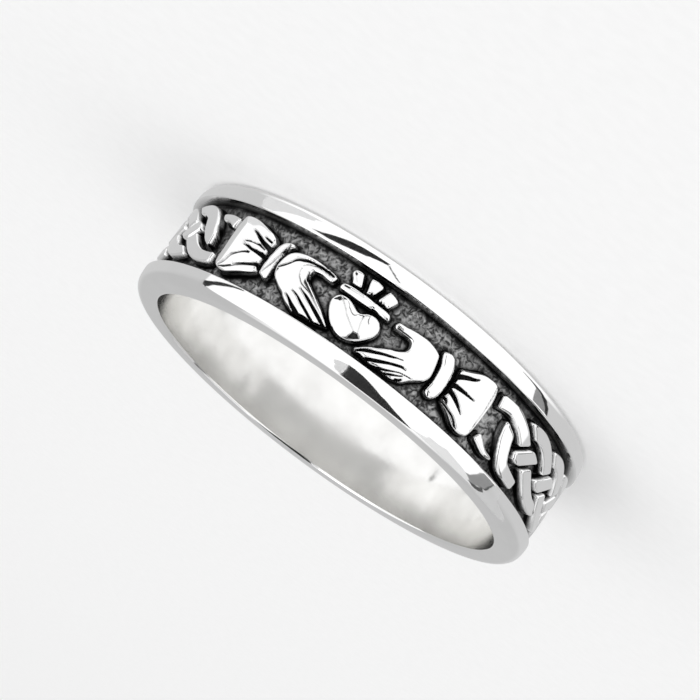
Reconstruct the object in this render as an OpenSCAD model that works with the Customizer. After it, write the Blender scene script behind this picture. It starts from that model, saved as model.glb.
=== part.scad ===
// Claddagh ring: a silver band cast in one piece, with two plain rails and a sunk channel between them.
// In the channel stand a crowned heart held by two hands, their cuffs and sleeves, and a plait of four
// strands that runs round the back. The ring lies on its side on the floor, with its axis upright and
// its origin in the middle of the lower side face. The heart faces -Y and its point is towards +Z.
// Figures are drawn flat, x along the band and y towards the crown, and are then set round the band.

/* [Band] */
// Diameter of the finger bore
bore_d = 17.3; // [14:0.1:22]
// Width of the band along the finger
band_w = 5.1; // [4.6:0.1:7]
// Thickness of the band through a rail
wall = 1.25; // [1.1:0.05:2]
// Rounding of the band's outer corners
corner_r = 0.48; // [0.2:0.02:0.6]
// Rounding of the mouth of the bore
mouth_r = 0.12; // [0.06:0.01:0.25]

/* [Channel] */
// Width of each rail
rail_w = 0.9; // [0.7:0.05:1.2]
// Depth of the channel below the top of the relief
channel_depth = 0.45; // [0.3:0.05:0.6]
// How far the top of the relief lies below the crown of the rails
relief_drop = 0.15; // [0.05:0.01:0.3]
// Rounding of the rails' inner edges
shoulder_r = 0.1; // [0.05:0.01:0.2]

/* [Heart and crown] */
// Width of the heart
heart_w = 2.35; // [1.8:0.05:2.8]
// Height of the heart from its lobes to its point
heart_h = 1.48; // [1.2:0.02:1.7]
// How far the heart's lobes reach above the middle of the channel
heart_top = 0.18; // [0:0.02:0.3]
// Rise of the heart's middle above its edge
heart_rise = 0.14; // [0.05:0.01:0.25]
// Width of the crown's base bar
crown_w = 2.46; // [1.8:0.02:3]
// Thickness of the crown's base bar
crown_bar = 0.34; // [0.25:0.01:0.45]
// Height of the crown's prongs
prong_h = 0.62; // [0.4:0.02:0.7]
// Groove between the heart, the crown's bar and its prongs
crown_gap = 0.12; // [0.08:0.01:0.2]

/* [Hands and sleeves] */
// Gap between the heart and the tips of the thumbs
thumb_gap = 0.29; // [0.1:0.01:0.5]
// Length of a hand from its thumb's tip to its wrist
hand_l = 2.43; // [2:0.01:3]
// Gap between a wrist and its cuff
wrist_gap = 0.1; // [0.05:0.01:0.2]
// Thickness of a cuff's roll
cuff_w = 0.54; // [0.4:0.02:0.7]
// Gap between a cuff and its sleeve
cuff_gap = 0.12; // [0.08:0.01:0.2]
// Length of the left sleeve
left_sleeve_l = 2.3; // [1.6:0.05:2.8]
// Length of the right sleeve
right_sleeve_l = 1.95; // [1.6:0.05:2.8]
// Depth of the pleats and of the lines between the fingers
groove_depth = 0.2; // [0.1:0.02:0.28]

/* [Plait] */
// Spacing of the plait's middle crossings, which is trimmed so that a whole number fits
crossing_pitch = 2.5; // [2.1:0.05:3]
// Width of a strand
strand_w = 0.58; // [0.5:0.02:0.7]
// Share of that width which a strand loses where it turns back
turn_narrowing = 0.2; // [0:0.02:0.3]
// Groove where one strand passes under another
strand_gap = 0.16; // [0.1:0.01:0.2]
// Gap between the plait and the rails
plait_margin = 0.3; // [0.15:0.01:0.4]
// Distance from a sleeve to the nearest middle crossing
plait_lead = 3.2; // [2.9:0.05:3.6]
// Gap between a sleeve and the strands that start there
sleeve_gap = 0.28; // [0.2:0.01:0.4]

/* [Hidden] */
$fn = 96;
bore_r = bore_d / 2;
outer_r = bore_r + wall;
face_r = outer_r - relief_drop;
floor_r = face_r - channel_depth;
root_r = (floor_r + bore_r) / 2;
half_w = band_w / 2;
half_channel = half_w - rail_w;
// Above the tallest figure, where figures and cutters end
clear_r = outer_r + wall;
// Straight pieces that stand for a quarter turn of a rounded edge, for the stretch between two points
// of an outline, and for a pitch of a strand
arc_steps = 6;
curve_steps = 3;
pitch_steps = 6;

// Along the band, measured at its outer radius from the middle of the heart
hand_x = heart_w / 2 + thumb_gap;
cuff_x = hand_x + hand_l + wrist_gap;
sleeve_x = cuff_x + cuff_w + cuff_gap;
left_hem = sleeve_x + left_sleeve_l;
right_hem = sleeve_x + right_sleeve_l;
first_crossing = right_hem + plait_lead;
last_crossing = 2 * PI * outer_r - left_hem - plait_lead;
pitches = round((last_crossing - first_crossing) / crossing_pitch);
pitch = (last_crossing - first_crossing) / pitches;
strand_swing = half_channel - plait_margin - strand_w / 2;
start_l = plait_lead - sleeve_gap;

// Across the band, measured from the middle of the channel
bar_y = heart_top + crown_gap + crown_bar / 2;
prong_y = bar_y + crown_bar / 2 + crown_gap;

// Right half of the heart: x as a share of half its width, y as a share of its height, from the notch
heart_half = [
    [0.00, -0.15], [0.10, -0.13], [0.32, -0.05], [0.60, 0.00], [0.86, -0.06], [1.00, -0.26],
    [0.97, -0.46], [0.80, -0.66], [0.52, -0.88], [0.22, -0.99], [0.00, -1.00]];

// Prongs: foot's middle and width, then the top's, as shares of the crown's width
prongs = [
    // foot_x, foot_w, top_x, top_w
    [-0.27, 0.17, -0.36, 0.22],
    [-0.03, 0.12, -0.03, 0.26],
    [0.26, 0.22, 0.33, 0.22]];
// A prong's outline: x as a share of its width there, y as a share of its height
prong_outline = [[-0.50, 0.00], [0.50, 0.00], [0.50, 0.76], [0.34, 0.95], [0.10, 1.00], [-0.16, 1.00],
    [-0.38, 0.94], [-0.50, 0.76]];

// Hands: x as a share of the hand's length from the thumb's tip, y as a share of half the channel
left_hand = [
    [0.00, 0.36], [0.06, 0.20], [0.38, 0.22], [0.50, 0.12], [0.41, -0.06], [0.22, -0.17], [-0.04, -0.42],
    [-0.30, -0.80], [-0.22, -0.86], [0.04, -0.84], [0.33, -0.86], [0.50, -0.80], [0.66, -0.65],
    [0.84, -0.47], [0.97, -0.26], [1.00, -0.06], [0.97, 0.18], [0.90, 0.34], [0.74, 0.46],
    [0.55, 0.49], [0.25, 0.46], [0.05, 0.41]];
right_hand = [
    [0.00, 0.23], [0.04, 0.17], [0.30, 0.17], [0.40, 0.10], [0.42, -0.05], [0.33, -0.20], [0.10, -0.38],
    [-0.10, -0.54], [-0.30, -0.78], [-0.24, -0.86], [0.04, -0.87], [0.40, -0.88], [0.56, -0.85],
    [0.70, -0.72], [0.86, -0.57], [0.97, -0.42], [1.00, -0.20], [0.98, 0.05], [0.94, 0.27],
    [0.80, 0.38], [0.58, 0.44], [0.30, 0.40], [0.06, 0.36]];

// Cuffs: x across the roll as a share of its thickness, y as a share of half the channel
left_cuff = [
    [0.00, -0.10], [-0.02, 0.10], [-0.14, 0.32], [-0.42, 0.50], [-0.28, 0.57], [0.10, 0.58],
    [0.56, 0.50], [0.86, 0.30], [0.98, 0.05], [0.98, -0.30], [0.84, -0.46], [0.40, -0.53], [0.04, -0.50]];
right_cuff = [
    [-0.10, 0.25], [-0.44, 0.45], [-0.20, 0.54], [0.20, 0.53], [0.60, 0.38], [0.90, 0.10],
    [1.06, -0.25], [1.02, -0.48], [0.60, -0.64], [0.16, -0.62], [0.00, -0.45], [0.04, -0.10]];

// Sleeves: x as a share of the sleeve's length from the cuff, y as a share of half the channel
left_sleeve = [
    [0.00, 0.42], [0.16, 0.56], [0.34, 0.66], [0.56, 0.72], [0.90, 0.73], [0.98, 0.66], [1.00, 0.30],
    [0.98, -0.30], [0.94, -0.66], [0.82, -0.81], [0.64, -0.85], [0.40, -0.74], [0.16, -0.60],
    [0.00, -0.50], [0.04, -0.10], [0.04, 0.14]];
right_sleeve = [
    [0.00, 0.42], [0.14, 0.52], [0.32, 0.63], [0.54, 0.71], [0.84, 0.71], [0.92, 0.60], [0.99, 0.26],
    [1.00, -0.30], [0.98, -0.66], [0.88, -0.80], [0.66, -0.84], [0.46, -0.76], [0.22, -0.62],
    [0.02, -0.50], [0.06, -0.10], [0.05, 0.14]];

// Lines cut in the figures. x is a share of the figure's length, y a share of half the channel, and
// the third column is half the line's width as a share of the groove's depth.
left_hand_lines = [
    [[0.98, -0.10, 0.1], [0.84, 0.16, 0.2], [0.72, 0.33, 0.3], [0.45, 0.40, 0.2], [0.12, 0.37, 0.1]],
    [[0.44, -0.29, 0.1], [0.20, -0.45, 0.3], [-0.06, -0.64, 0.3], [-0.24, -0.84, 0.2]],
    [[0.54, -0.43, 0.1], [0.30, -0.57, 0.3], [0.06, -0.73, 0.3], [-0.04, -0.84, 0.2]],
    [[0.60, -0.57, 0.1], [0.46, -0.70, 0.4], [0.32, -0.80, 0.5]]];
right_hand_lines = [
    [[0.46, -0.34, 0.1], [0.24, -0.45, 0.3], [-0.04, -0.60, 0.3], [-0.24, -0.82, 0.2]],
    [[0.52, -0.48, 0.2], [0.30, -0.62, 0.4], [0.08, -0.78, 0.3], [-0.02, -0.86, 0.2]],
    [[0.64, -0.48, 0.2], [0.52, -0.62, 0.5], [0.36, -0.76, 0.3], [0.24, -0.84, 0.2]],
    [[0.80, -0.58, 0.1], [0.62, -0.68, 0.3], [0.48, -0.80, 0.2]]];
left_cuff_lines = [
    [[0.26, 0.48, 0.1], [0.40, 0.30, 0.2], [0.56, 0.08, 0.2], [0.66, -0.14, 0.2], [0.82, -0.38, 0.1]]];
left_sleeve_lines = [
    [[0.58, 0.44, 0.1], [0.34, 0.32, 0.3], [0.02, 0.18, 0.5]],
    [[0.60, 0.03, 0.1], [0.36, 0.00, 0.3], [0.02, -0.04, 0.5]],
    [[0.36, -0.12, 0.1], [0.54, -0.18, 0.2], [0.70, -0.38, 0.3], [0.78, -0.62, 0.2]],
    [[0.50, -0.56, 0.2], [0.30, -0.44, 0.4], [0.02, -0.30, 0.4]]];
right_sleeve_lines = [
    [[0.46, 0.48, 0.1], [0.28, 0.37, 0.3], [0.02, 0.21, 0.4]],
    [[0.58, 0.03, 0.1], [0.30, 0.03, 0.3], [0.02, 0.00, 0.4]],
    [[0.54, -0.42, 0.1], [0.34, -0.32, 0.4], [0.04, -0.17, 0.5]],
    [[0.64, -0.74, 0.1], [0.44, -0.64, 0.2], [0.16, -0.52, 0.2]]];

// Ends of the plait, drawn for the right end; the left end is turned by half a turn. At each end two
// strands start at the sleeve and the other two join in a loop. x is measured from the middle crossing
// as a share of the pitch for a loop and of the distance to the sleeve for a start, y is a share of a
// strand's swing, and the third column is a share of its width.
right_loop = [
    [-0.60, 0.66, 1.0], [-0.66, 0.36, 1.0], [-0.66, 0.05, 1.0], [-0.60, -0.30, 1.0], [-0.50, -0.61, 1.0],
    [-0.36, -0.87, 0.9], [-0.18, -0.99, 0.8], [0.00, -1.00, 0.8], [0.25, -0.93, 0.8], [0.50, -0.71, 0.9]];
left_loop = [
    [-0.91, 0.49, 0.3], [-0.80, 0.21, 0.8], [-0.69, -0.05, 1.0], [-0.58, -0.33, 1.2], [-0.48, -0.58, 1.1],
    [-0.36, -0.82, 1.0], [-0.18, -0.96, 0.9], [0.00, -1.00, 0.8], [0.25, -0.93, 0.8], [0.50, -0.71, 0.9]];
upper_start = [
    [-1.00, 0.71, 0.8], [-0.95, 0.73, 0.8], [-0.87, 0.81, 0.9], [-0.76, 0.87, 0.9], [-0.61, 0.86, 0.9],
    [-0.42, 0.72, 1.0], [-0.21, 0.39, 1.0], [0.00, 0.00, 1.0]];
lower_start = [
    [-1.00, 0.87, 0.8], [-0.95, 0.89, 0.8], [-0.87, 0.95, 0.9], [-0.76, 0.99, 0.9], [-0.61, 0.96, 0.9],
    [-0.42, 0.74, 1.0], [-0.21, 0.39, 1.0], [0.00, 0.00, 1.0]];

// A point on the smooth curve from b to c, which passes through a, b, c and d
function curve_point(a, b, c, d, t) =
    b + t * (c - a) / 2 + t * t * (2 * a - 5 * b + 4 * c - d) / 2 + t * t * t * (3 * b - a - 3 * c + d) / 2;

// A smooth closed outline, and a smooth open line, through the given points
function smooth_loop(p) = let (n = len(p)) [for (i = [0 : n - 1], j = [0 : curve_steps - 1])
    curve_point(p[(i + n - 1) % n], p[i], p[(i + 1) % n], p[(i + 2) % n], j / curve_steps)];
function smooth_line(p) = concat([for (i = [0 : len(p) - 2], j = [0 : curve_steps - 1])
    curve_point(p[max(i - 1, 0)], p[i], p[i + 1], p[min(i + 2, len(p) - 1)], j / curve_steps)],
    [p[len(p) - 1]]);

// Outline of a line with a width: each point is x, y and the half width there
function across(p, i) =
    let (d = p[min(i + 1, len(p) - 1)] - p[max(i - 1, 0)], n = norm([d[0], d[1]]))
    [-d[1], d[0]] / n * p[i][2];
function ribbon(p) = concat(
    [for (i = [0 : len(p) - 1]) [p[i][0], p[i][1]] + across(p, i)],
    [for (i = [len(p) - 1 : -1 : 0]) [p[i][0], p[i][1]] - across(p, i)]);

function scaled(table, x_size, y_size) = [for (p = table) [p[0] * x_size, p[1] * y_size]];
function line_scaled(table, x_size, y_size, w_size) =
    [for (p = table) [p[0] * x_size, p[1] * y_size, p[2] * w_size]];
function arc(x, y, r, from, to) =
    [for (i = [0 : arc_steps]) let (a = from + (to - from) * i / arc_steps) [x + r * cos(a), y + r * sin(a)]];

// Sets a flat shape on the band at a distance s from the heart, from one radius out to another
module on_band(s, from_r = root_r, to_r = clear_r)
    rotate([0, 0, -90 - s / outer_r * 180 / PI])
        translate([from_r, 0, half_w])
            rotate([0, 90, 0]) rotate([0, 0, -90])
                linear_extrude(height = to_r - from_r) children();

// The plain band: side faces, rounded outer corners, crowned rails and the channel's floor and walls
module band() {
    half_profile = concat(
        arc(bore_r + mouth_r, mouth_r, mouth_r, 180, 270),
        arc(outer_r - corner_r, corner_r, corner_r, -90, 0),
        arc(face_r - shoulder_r + relief_drop / 2, rail_w - shoulder_r, shoulder_r, 0, 90),
        [[floor_r, rail_w + shoulder_r / 2]]);
    last = len(half_profile) - 1;
    other_half = [for (i = [last : -1 : 0]) [half_profile[i][0], band_w - half_profile[i][1]]];
    rotate_extrude() polygon(concat(half_profile, other_half));
}

module heart()
    intersection() {
        on_band(0) translate([0, heart_top])
            polygon(smooth_loop(concat(
                scaled(heart_half, heart_w / 2, heart_h),
                [for (i = [len(heart_half) - 2 : -1 : 1])
                    [-heart_half[i][0] * heart_w / 2, heart_half[i][1] * heart_h]])));
        heart_dome();
    }

// A sphere whose cap rises by heart_rise over the heart's half width
module heart_dome() {
    dome_r = (pow(heart_w / 2, 2) + pow(heart_rise, 2)) / (2 * heart_rise);
    middle_y = heart_top - heart_h / 2;
    translate([0, dome_r - face_r - relief_drop / 2, half_w - middle_y]) sphere(r = dome_r);
}

module crown() {
    on_band(0) translate([0, bar_y]) {
        square([crown_w - crown_bar, crown_bar], center = true);
        for (side = [-1, 1]) translate([side * (crown_w - crown_bar) / 2, 0]) circle(d = crown_bar, $fn = 24);
    }
    for (p = prongs) on_band(0) prong(p);
}

module prong(p)
    translate([0, prong_y]) polygon([for (q = prong_outline)
        let (middle = p[0] + (p[2] - p[0]) * q[1], width = p[1] + (p[3] - p[1]) * q[1])
        [(middle + q[0] * width) * crown_w, q[1] * prong_h]]);

// A figure of the left or right side, drawn from its end near the heart outwards. Its outline and its
// lines are set round the band at the figure's own middle.
module figure(side, start, length, table)
    on_band(side * (start + length / 2)) translate([-side * length / 2, 0])
        polygon(smooth_loop(scaled(table, side * length, half_channel)));

module lines(side, start, length, tables)
    for (t = tables) on_band(side * (start + length / 2), face_r - groove_depth)
        translate([-side * length / 2, 0])
            polygon(ribbon(smooth_line(line_scaled(t, side * length, half_channel, groove_depth))));

module hands() {
    figure(-1, hand_x, hand_l, left_hand);
    figure(1, hand_x, hand_l, right_hand);
}

module cuffs() {
    figure(-1, cuff_x, cuff_w, left_cuff);
    figure(1, cuff_x, cuff_w, right_cuff);
}

module sleeves() {
    figure(-1, sleeve_x, left_sleeve_l, left_sleeve);
    figure(1, sleeve_x, right_sleeve_l, right_sleeve);
}

module figure_lines() {
    lines(-1, hand_x, hand_l, left_hand_lines);
    lines(1, hand_x, hand_l, right_hand_lines);
    lines(-1, cuff_x, cuff_w, left_cuff_lines);
    lines(-1, sleeve_x, left_sleeve_l, left_sleeve_lines);
    lines(1, sleeve_x, right_sleeve_l, right_sleeve_lines);
}

// One strand of the plait near a middle crossing. It swings over four pitches, falls through the
// crossing when rise is -1 and climbs through it when rise is 1.
module strand(from, to, rise, grow = 0) {
    steps = ceil((to - from) / pitch * pitch_steps);
    polygon(ribbon([for (i = [0 : steps])
        let (x = from + (to - from) * i / steps, y = rise * sin(90 * x / pitch))
        [x, y * strand_swing, strand_w / 2 * (1 - turn_narrowing * y * y) + grow]]));
}

// Falling strands pass over at the outer crossings and under at the middle one, and rising strands
// the other way round, so each strand shows as pieces that stop short of what passes over them. This
// piece turns at the channel's upper side and falls to a crossing.
module falling_piece()
    difference() {
        strand(-1.5 * pitch, 0, -1);
        translate([-pitch, 0]) strand(-1.5 * pitch, 1.5 * pitch, -1, strand_gap);
        strand(-pitch, pitch, 1, strand_gap);
    }

module rising_piece()
    difference() {
        strand(-pitch / 2, pitch / 2, 1);
        for (side = [-1, 1]) translate([side * pitch, 0]) strand(-1.5 * pitch, 1.5 * pitch, -1, strand_gap);
    }

// A strand drawn from a table, its width column a share of a strand's width
module end_strand(table, x_size, y_size, grow = 0) {
    line = smooth_line(line_scaled(table, x_size, y_size, strand_w / 2));
    polygon(ribbon([for (p = line) p + [0, 0, grow]]));
}

// An end of the plait: the strand that starts over the loop, the loop, and the strand that starts
// under the loop and climbs through the crossing
module plait_end(over, loop, under) {
    difference() {
        end_strand(over, start_l, strand_swing);
        strand(-pitch, pitch, 1, strand_gap);
    }
    difference() {
        end_strand(loop, pitch, strand_swing);
        end_strand(over, start_l, strand_swing, strand_gap);
        strand(0, 1.5 * pitch, -1, strand_gap);
    }
    difference() {
        end_strand(under, start_l, -strand_swing);
        end_strand(loop, pitch, strand_swing, strand_gap);
        strand(-pitch / 2, pitch, 1, strand_gap);
    }
    difference() {
        rising_piece();
        end_strand(loop, pitch, strand_swing, strand_gap);
    }
}

// Each piece is set round the band near its own middle.
module plait() {
    for (i = [1 : pitches - 1]) on_band(first_crossing + i * pitch) rising_piece();
    for (i = [0 : pitches - 1]) {
        on_band(first_crossing + i * pitch) translate([pitch, 0]) falling_piece();
        on_band(first_crossing + (i + 1) * pitch) rotate(180) translate([pitch, 0]) falling_piece();
    }
    on_band(first_crossing - pitch / 2)
        translate([pitch / 2, 0]) plait_end(upper_start, right_loop, lower_start);
    on_band(last_crossing + pitch / 2)
        rotate(180) translate([pitch / 2, 0]) plait_end(lower_start, left_loop, upper_start);
}

module ring() color("silver")
    difference() {
        union() {
            band();
            intersection() {
                translate([0, 0, rail_w / 2]) cylinder(r = face_r, h = band_w - rail_w);
                union() {
                    crown();
                    hands();
                    cuffs();
                    sleeves();
                    plait();
                }
            }
            heart();
        }
        figure_lines();
    }

ring();
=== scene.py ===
import bpy
import math
import numpy as np
from mathutils import Matrix, Vector, noise


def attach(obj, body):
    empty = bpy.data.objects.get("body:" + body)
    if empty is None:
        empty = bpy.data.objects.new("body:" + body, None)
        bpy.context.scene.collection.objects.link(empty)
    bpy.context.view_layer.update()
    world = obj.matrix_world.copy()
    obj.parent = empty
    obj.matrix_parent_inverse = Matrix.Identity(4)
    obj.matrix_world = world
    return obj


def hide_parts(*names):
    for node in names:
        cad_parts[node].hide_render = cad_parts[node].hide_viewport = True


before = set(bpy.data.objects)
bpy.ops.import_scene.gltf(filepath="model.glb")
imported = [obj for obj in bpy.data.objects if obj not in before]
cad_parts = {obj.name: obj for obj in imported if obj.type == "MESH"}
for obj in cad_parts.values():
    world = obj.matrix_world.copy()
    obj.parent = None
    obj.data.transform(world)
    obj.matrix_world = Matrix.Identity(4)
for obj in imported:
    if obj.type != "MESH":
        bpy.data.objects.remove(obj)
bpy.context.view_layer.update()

# The band is cast in sterling silver in one piece with its relief: two rails with a sunk channel between
# them. The rails and side faces are polished on a wheel, the bore is buffed, and the channel's floor is
# punched with a fine stipple. It is drawn as a section, in millimetres, and spun round the bore's axis.
MM = 0.001
BORE_R = 8.65
OUTER_R = 9.9
POLISHED_R = 9.893
BAND_W = 5.1
RAIL_W = 0.9
FLOOR_R = 9.3
MOUTH_ROUNDING = 0.12
ROUNDING_STEPS = 8
FLOOR_CUTS = 30
SPIN_STEPS = 600
SAME_PLACE = 0.0001
STIPPLE_SIZE = 0.25
STIPPLE_DEPTH = 0.03
STIPPLE_MARGIN = 0.07
LIP = 0.1
BLACK_BELOW_CREST = 0.12
BRIGHT_BELOW_CREST = 0.05


def only(piece):
    """Makes the piece the one that is selected and active, with nothing selected in its mesh."""
    if bpy.context.object and bpy.context.object.mode != "OBJECT":
        bpy.ops.object.mode_set(mode="OBJECT")
    bpy.ops.object.select_all(action="DESELECT")
    piece.select_set(True)
    bpy.context.view_layer.objects.active = piece
    bpy.ops.object.mode_set(mode="EDIT")
    bpy.ops.mesh.select_all(action="DESELECT")
    bpy.ops.object.mode_set(mode="OBJECT")


def points_of(piece):
    points = np.empty(len(piece.data.vertices) * 3)
    piece.data.vertices.foreach_get("co", points)
    return points.reshape(-1, 3)


def move_points(piece, points):
    piece.data.vertices.foreach_set("co", np.asarray(points).ravel())
    piece.data.update()


def select_points(piece, chosen):
    """Selects the vertices for which chosen is true, and goes into edit mode."""
    only(piece)
    bpy.ops.object.mode_set(mode="EDIT")
    bpy.ops.mesh.select_mode(type="VERT")
    bpy.ops.object.mode_set(mode="OBJECT")
    piece.data.vertices.foreach_set("select", np.asarray(chosen, bool))
    bpy.ops.object.mode_set(mode="EDIT")


def paint(piece, name, values):
    """Writes one number for each vertex as an attribute that the silver's finish reads."""
    layer = piece.data.attributes.new(name, "FLOAT", "POINT")
    layer.data.foreach_set("value", np.asarray(values, np.float32))


def ramp(value, start, end):
    """Rises smoothly from 0 at the start to 1 at the end."""
    t = np.clip((value - start) / (end - start), 0, 1)
    return t * t * (3 - 2 * t)


def between_rails(height, margin):
    """Whether each height is in the channel, at least the margin away from its walls."""
    return (height > RAIL_W + margin) & (height < BAND_W - RAIL_W - margin)


# Half of the section from the bore outwards: radius, height above the side face, rounding. The rail falls
# away gently from its crest beside the channel, and more steeply towards the side face.
SECTION = [
    (BORE_R, 0.0, MOUTH_ROUNDING),
    (POLISHED_R - 0.158, 0.0, 0.33),
    (POLISHED_R - 0.025, 0.42, 0.10),
    (POLISHED_R, 0.68, 0.13),
    (POLISHED_R, RAIL_W - 0.04, 0.045),
    (FLOOR_R, RAIL_W + 0.02, 0.05),
]
corners = SECTION + [(r, BAND_W - z, rounding) for r, z, rounding in reversed(SECTION)]
bpy.ops.object.select_all(action="DESELECT")
bpy.ops.mesh.primitive_circle_add(vertices=len(corners), radius=OUTER_R)
band = bpy.context.object
band.name = "band"
move_points(band, [(r, 0, z) for r, z, _ in corners])
for rounding in sorted({rounding for _, _, rounding in corners}, reverse=True):
    at = np.array([(r, 0, z) for r, z, size in corners if size == rounding])
    near = np.linalg.norm(points_of(band)[:, None] - at[None], axis=2).min(1) < SAME_PLACE
    select_points(band, near)
    bpy.ops.mesh.bevel(offset=rounding, segments=ROUNDING_STEPS, affect="VERTICES")
    bpy.ops.object.mode_set(mode="OBJECT")
points = points_of(band)
floor_ends = (abs(points[:, 0] - FLOOR_R) < SAME_PLACE) & between_rails(points[:, 2], 0)
select_points(band, floor_ends)
bpy.ops.mesh.subdivide(number_cuts=FLOOR_CUTS)
bpy.ops.mesh.select_all(action="SELECT")
bpy.ops.mesh.spin(steps=SPIN_STEPS, angle=2 * math.pi, center=(0, 0, 0), axis=(0, 0, 1))
bpy.ops.mesh.select_all(action="SELECT")
bpy.ops.mesh.remove_doubles(threshold=SAME_PLACE)
bpy.ops.mesh.normals_make_consistent(inside=False)
bpy.ops.object.mode_set(mode="OBJECT")

points = points_of(band)
radius = np.hypot(points[:, 0], points[:, 1])
on_floor = (abs(radius - FLOOR_R) < SAME_PLACE) & between_rails(points[:, 2], STIPPLE_MARGIN)
stipple = np.array([noise.noise(Vector(p) / STIPPLE_SIZE) if f else 0 for p, f in zip(points, on_floor)])
points[:, :2] *= (1 + STIPPLE_DEPTH * stipple / FLOOR_R)[:, None]
move_points(band, points)
in_channel = between_rails(points[:, 2], -LIP)
bright = ramp(POLISHED_R - radius, BLACK_BELOW_CREST, BRIGHT_BELOW_CREST)
paint(band, "blackening", in_channel * (1 - bright))


def linear(hex_value):
    """The linear colour of an sRGB hex value."""
    srgb = [int(hex_value[i:i + 2], 16) / 255 for i in (1, 3, 5)]
    return [c / 12.92 if c <= 0.04045 else ((c + 0.055) / 1.055) ** 2.4 for c in srgb] + [1]


def add(tree, kind, inputs=(), **settings):
    """Adds a node with its settings, and sets or links its inputs, each given as a name or number."""
    made = tree.nodes.new(kind)
    for key, value in settings.items():
        setattr(made, key, value)
    for key, value in dict(inputs).items():
        if isinstance(value, bpy.types.NodeSocket):
            tree.links.new(value, made.inputs[key])
        else:
            made.inputs[key].default_value = value
    return made


def new_material(name):
    """An empty material with a shader, and the output that the shader is linked to."""
    material = bpy.data.materials.new(name)
    material.use_nodes = True
    tree = material.node_tree
    tree.nodes.clear()
    shader = add(tree, "ShaderNodeBsdfPrincipled")
    add(tree, "ShaderNodeOutputMaterial", {"Surface": shader.outputs[0]})
    return material, tree, shader


# Sockets of the node that mixes two colours: the second one's share, the two colours, and the result
SHARE = 0
FROM = 6
TO = 7
MIXED = 2

# Sterling silver, cast, blackened with liver of sulphur and then polished where the wheel reaches. The
# tops are a white mirror, a little wavy from the wheel. The sulphide stays matt and dark grey in the
# recesses, with swirls a quarter of a millimetre wide where it is rubbed thin. Beside walls, at the foot of
# the relief and between the strands it is painted near black: painted shade over the sulphide.
WHITE_METAL = "#F8F8F8"
GREYER_METAL = "#F1F1F1"
SULPHIDE = "#3E3E3E"
RUBBED_SULPHIDE = "#BCBCBC"
SHADE_AND_THICK_SULPHIDE = "#161616"
SWIRLS_PER_MM = 4.2
SWIRL_H = 0.04
PATCHES_PER_MM = 0.9
WAVE_H = 0.004
polished_silver, tree, shader = new_material("polished_blackened_sterling_silver")
place = add(tree, "ShaderNodeTexCoord").outputs["Object"]
recess = add(tree, "ShaderNodeAttribute", attribute_name="blackening").outputs["Fac"]
# corner is painted shade: the sulphide goes near black beside walls, at the relief's foot and between strands
corner = add(tree, "ShaderNodeAttribute", attribute_name="corner").outputs["Fac"]
# This attribute is painted: the creases' lines of painted shade and the dark patches, the heart's a painted
# reflection
painted_shade_and_reflection = add(tree, "ShaderNodeAttribute", attribute_name="painted_shade_and_reflection").outputs["Fac"]
black = add(tree, "ShaderNodeMath", {0: recess, 1: painted_shade_and_reflection}, operation="MAXIMUM").outputs[0]
noise_inputs = {"Vector": place, "Scale": SWIRLS_PER_MM / MM, "Detail": 3, "Distortion": 1.2}
swirls = add(tree, "ShaderNodeTexNoise", noise_inputs).outputs["Fac"]
noise_inputs = {"Vector": place, "Scale": PATCHES_PER_MM / MM, "Detail": 2}
patches = add(tree, "ShaderNodeTexNoise", noise_inputs).outputs["Fac"]
rubbed = add(tree, "ShaderNodeMapRange", {"Value": swirls, "From Min": 0.4, "From Max": 0.66}).outputs[0]
sulphide = add(tree, "ShaderNodeMix", {SHARE: rubbed, FROM: linear(SULPHIDE), TO: linear(RUBBED_SULPHIDE)},
               data_type="RGBA").outputs[MIXED]
# The painted shade of the corners, creases and dark patches turns the sulphide near black
painted_shade_and_crust = add(tree, "ShaderNodeMath", {0: corner, 1: painted_shade_and_reflection}, operation="MAXIMUM").outputs[0]
uneven = add(tree, "ShaderNodeMapRange", {"Value": patches, "From Min": 0.3, "From Max": 0.7,
                                          "To Min": 1.2, "To Max": 0.8}).outputs[0]
shade_and_crust = add(tree, "ShaderNodeMath", {0: painted_shade_and_crust, 1: uneven}, operation="MULTIPLY").outputs[0]
deep = add(tree, "ShaderNodeMix", {SHARE: shade_and_crust, FROM: sulphide, TO: linear(SHADE_AND_THICK_SULPHIDE)},
           data_type="RGBA").outputs[MIXED]
metal = add(tree, "ShaderNodeMix", {SHARE: patches, FROM: linear(WHITE_METAL), TO: linear(GREYER_METAL)},
            data_type="RGBA").outputs[MIXED]
colour = add(tree, "ShaderNodeMix", {SHARE: black, FROM: metal, TO: deep}, data_type="RGBA").outputs[MIXED]
shine = add(tree, "ShaderNodeMapRange", {"Value": patches, "To Min": 0.03, "To Max": 0.08}).outputs[0]
rough = add(tree, "ShaderNodeMix", {"Factor": black, "A": shine, "B": 0.5}).outputs[0]
waves = add(tree, "ShaderNodeBump", {"Height": patches, "Distance": WAVE_H * MM, "Strength": 0.5}).outputs[0]
relief = add(tree, "ShaderNodeMath", {0: swirls, 1: black}, operation="MULTIPLY").outputs[0]
bump = add(tree, "ShaderNodeBump", {"Height": relief, "Distance": SWIRL_H * MM, "Strength": 0.6,
                                    "Normal": waves}).outputs[0]
tree.links.new(colour, shader.inputs["Base Color"])
tree.links.new(rough, shader.inputs["Roughness"])
tree.links.new(bump, shader.inputs["Normal"])
shader.inputs["Metallic"].default_value = 1

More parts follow.
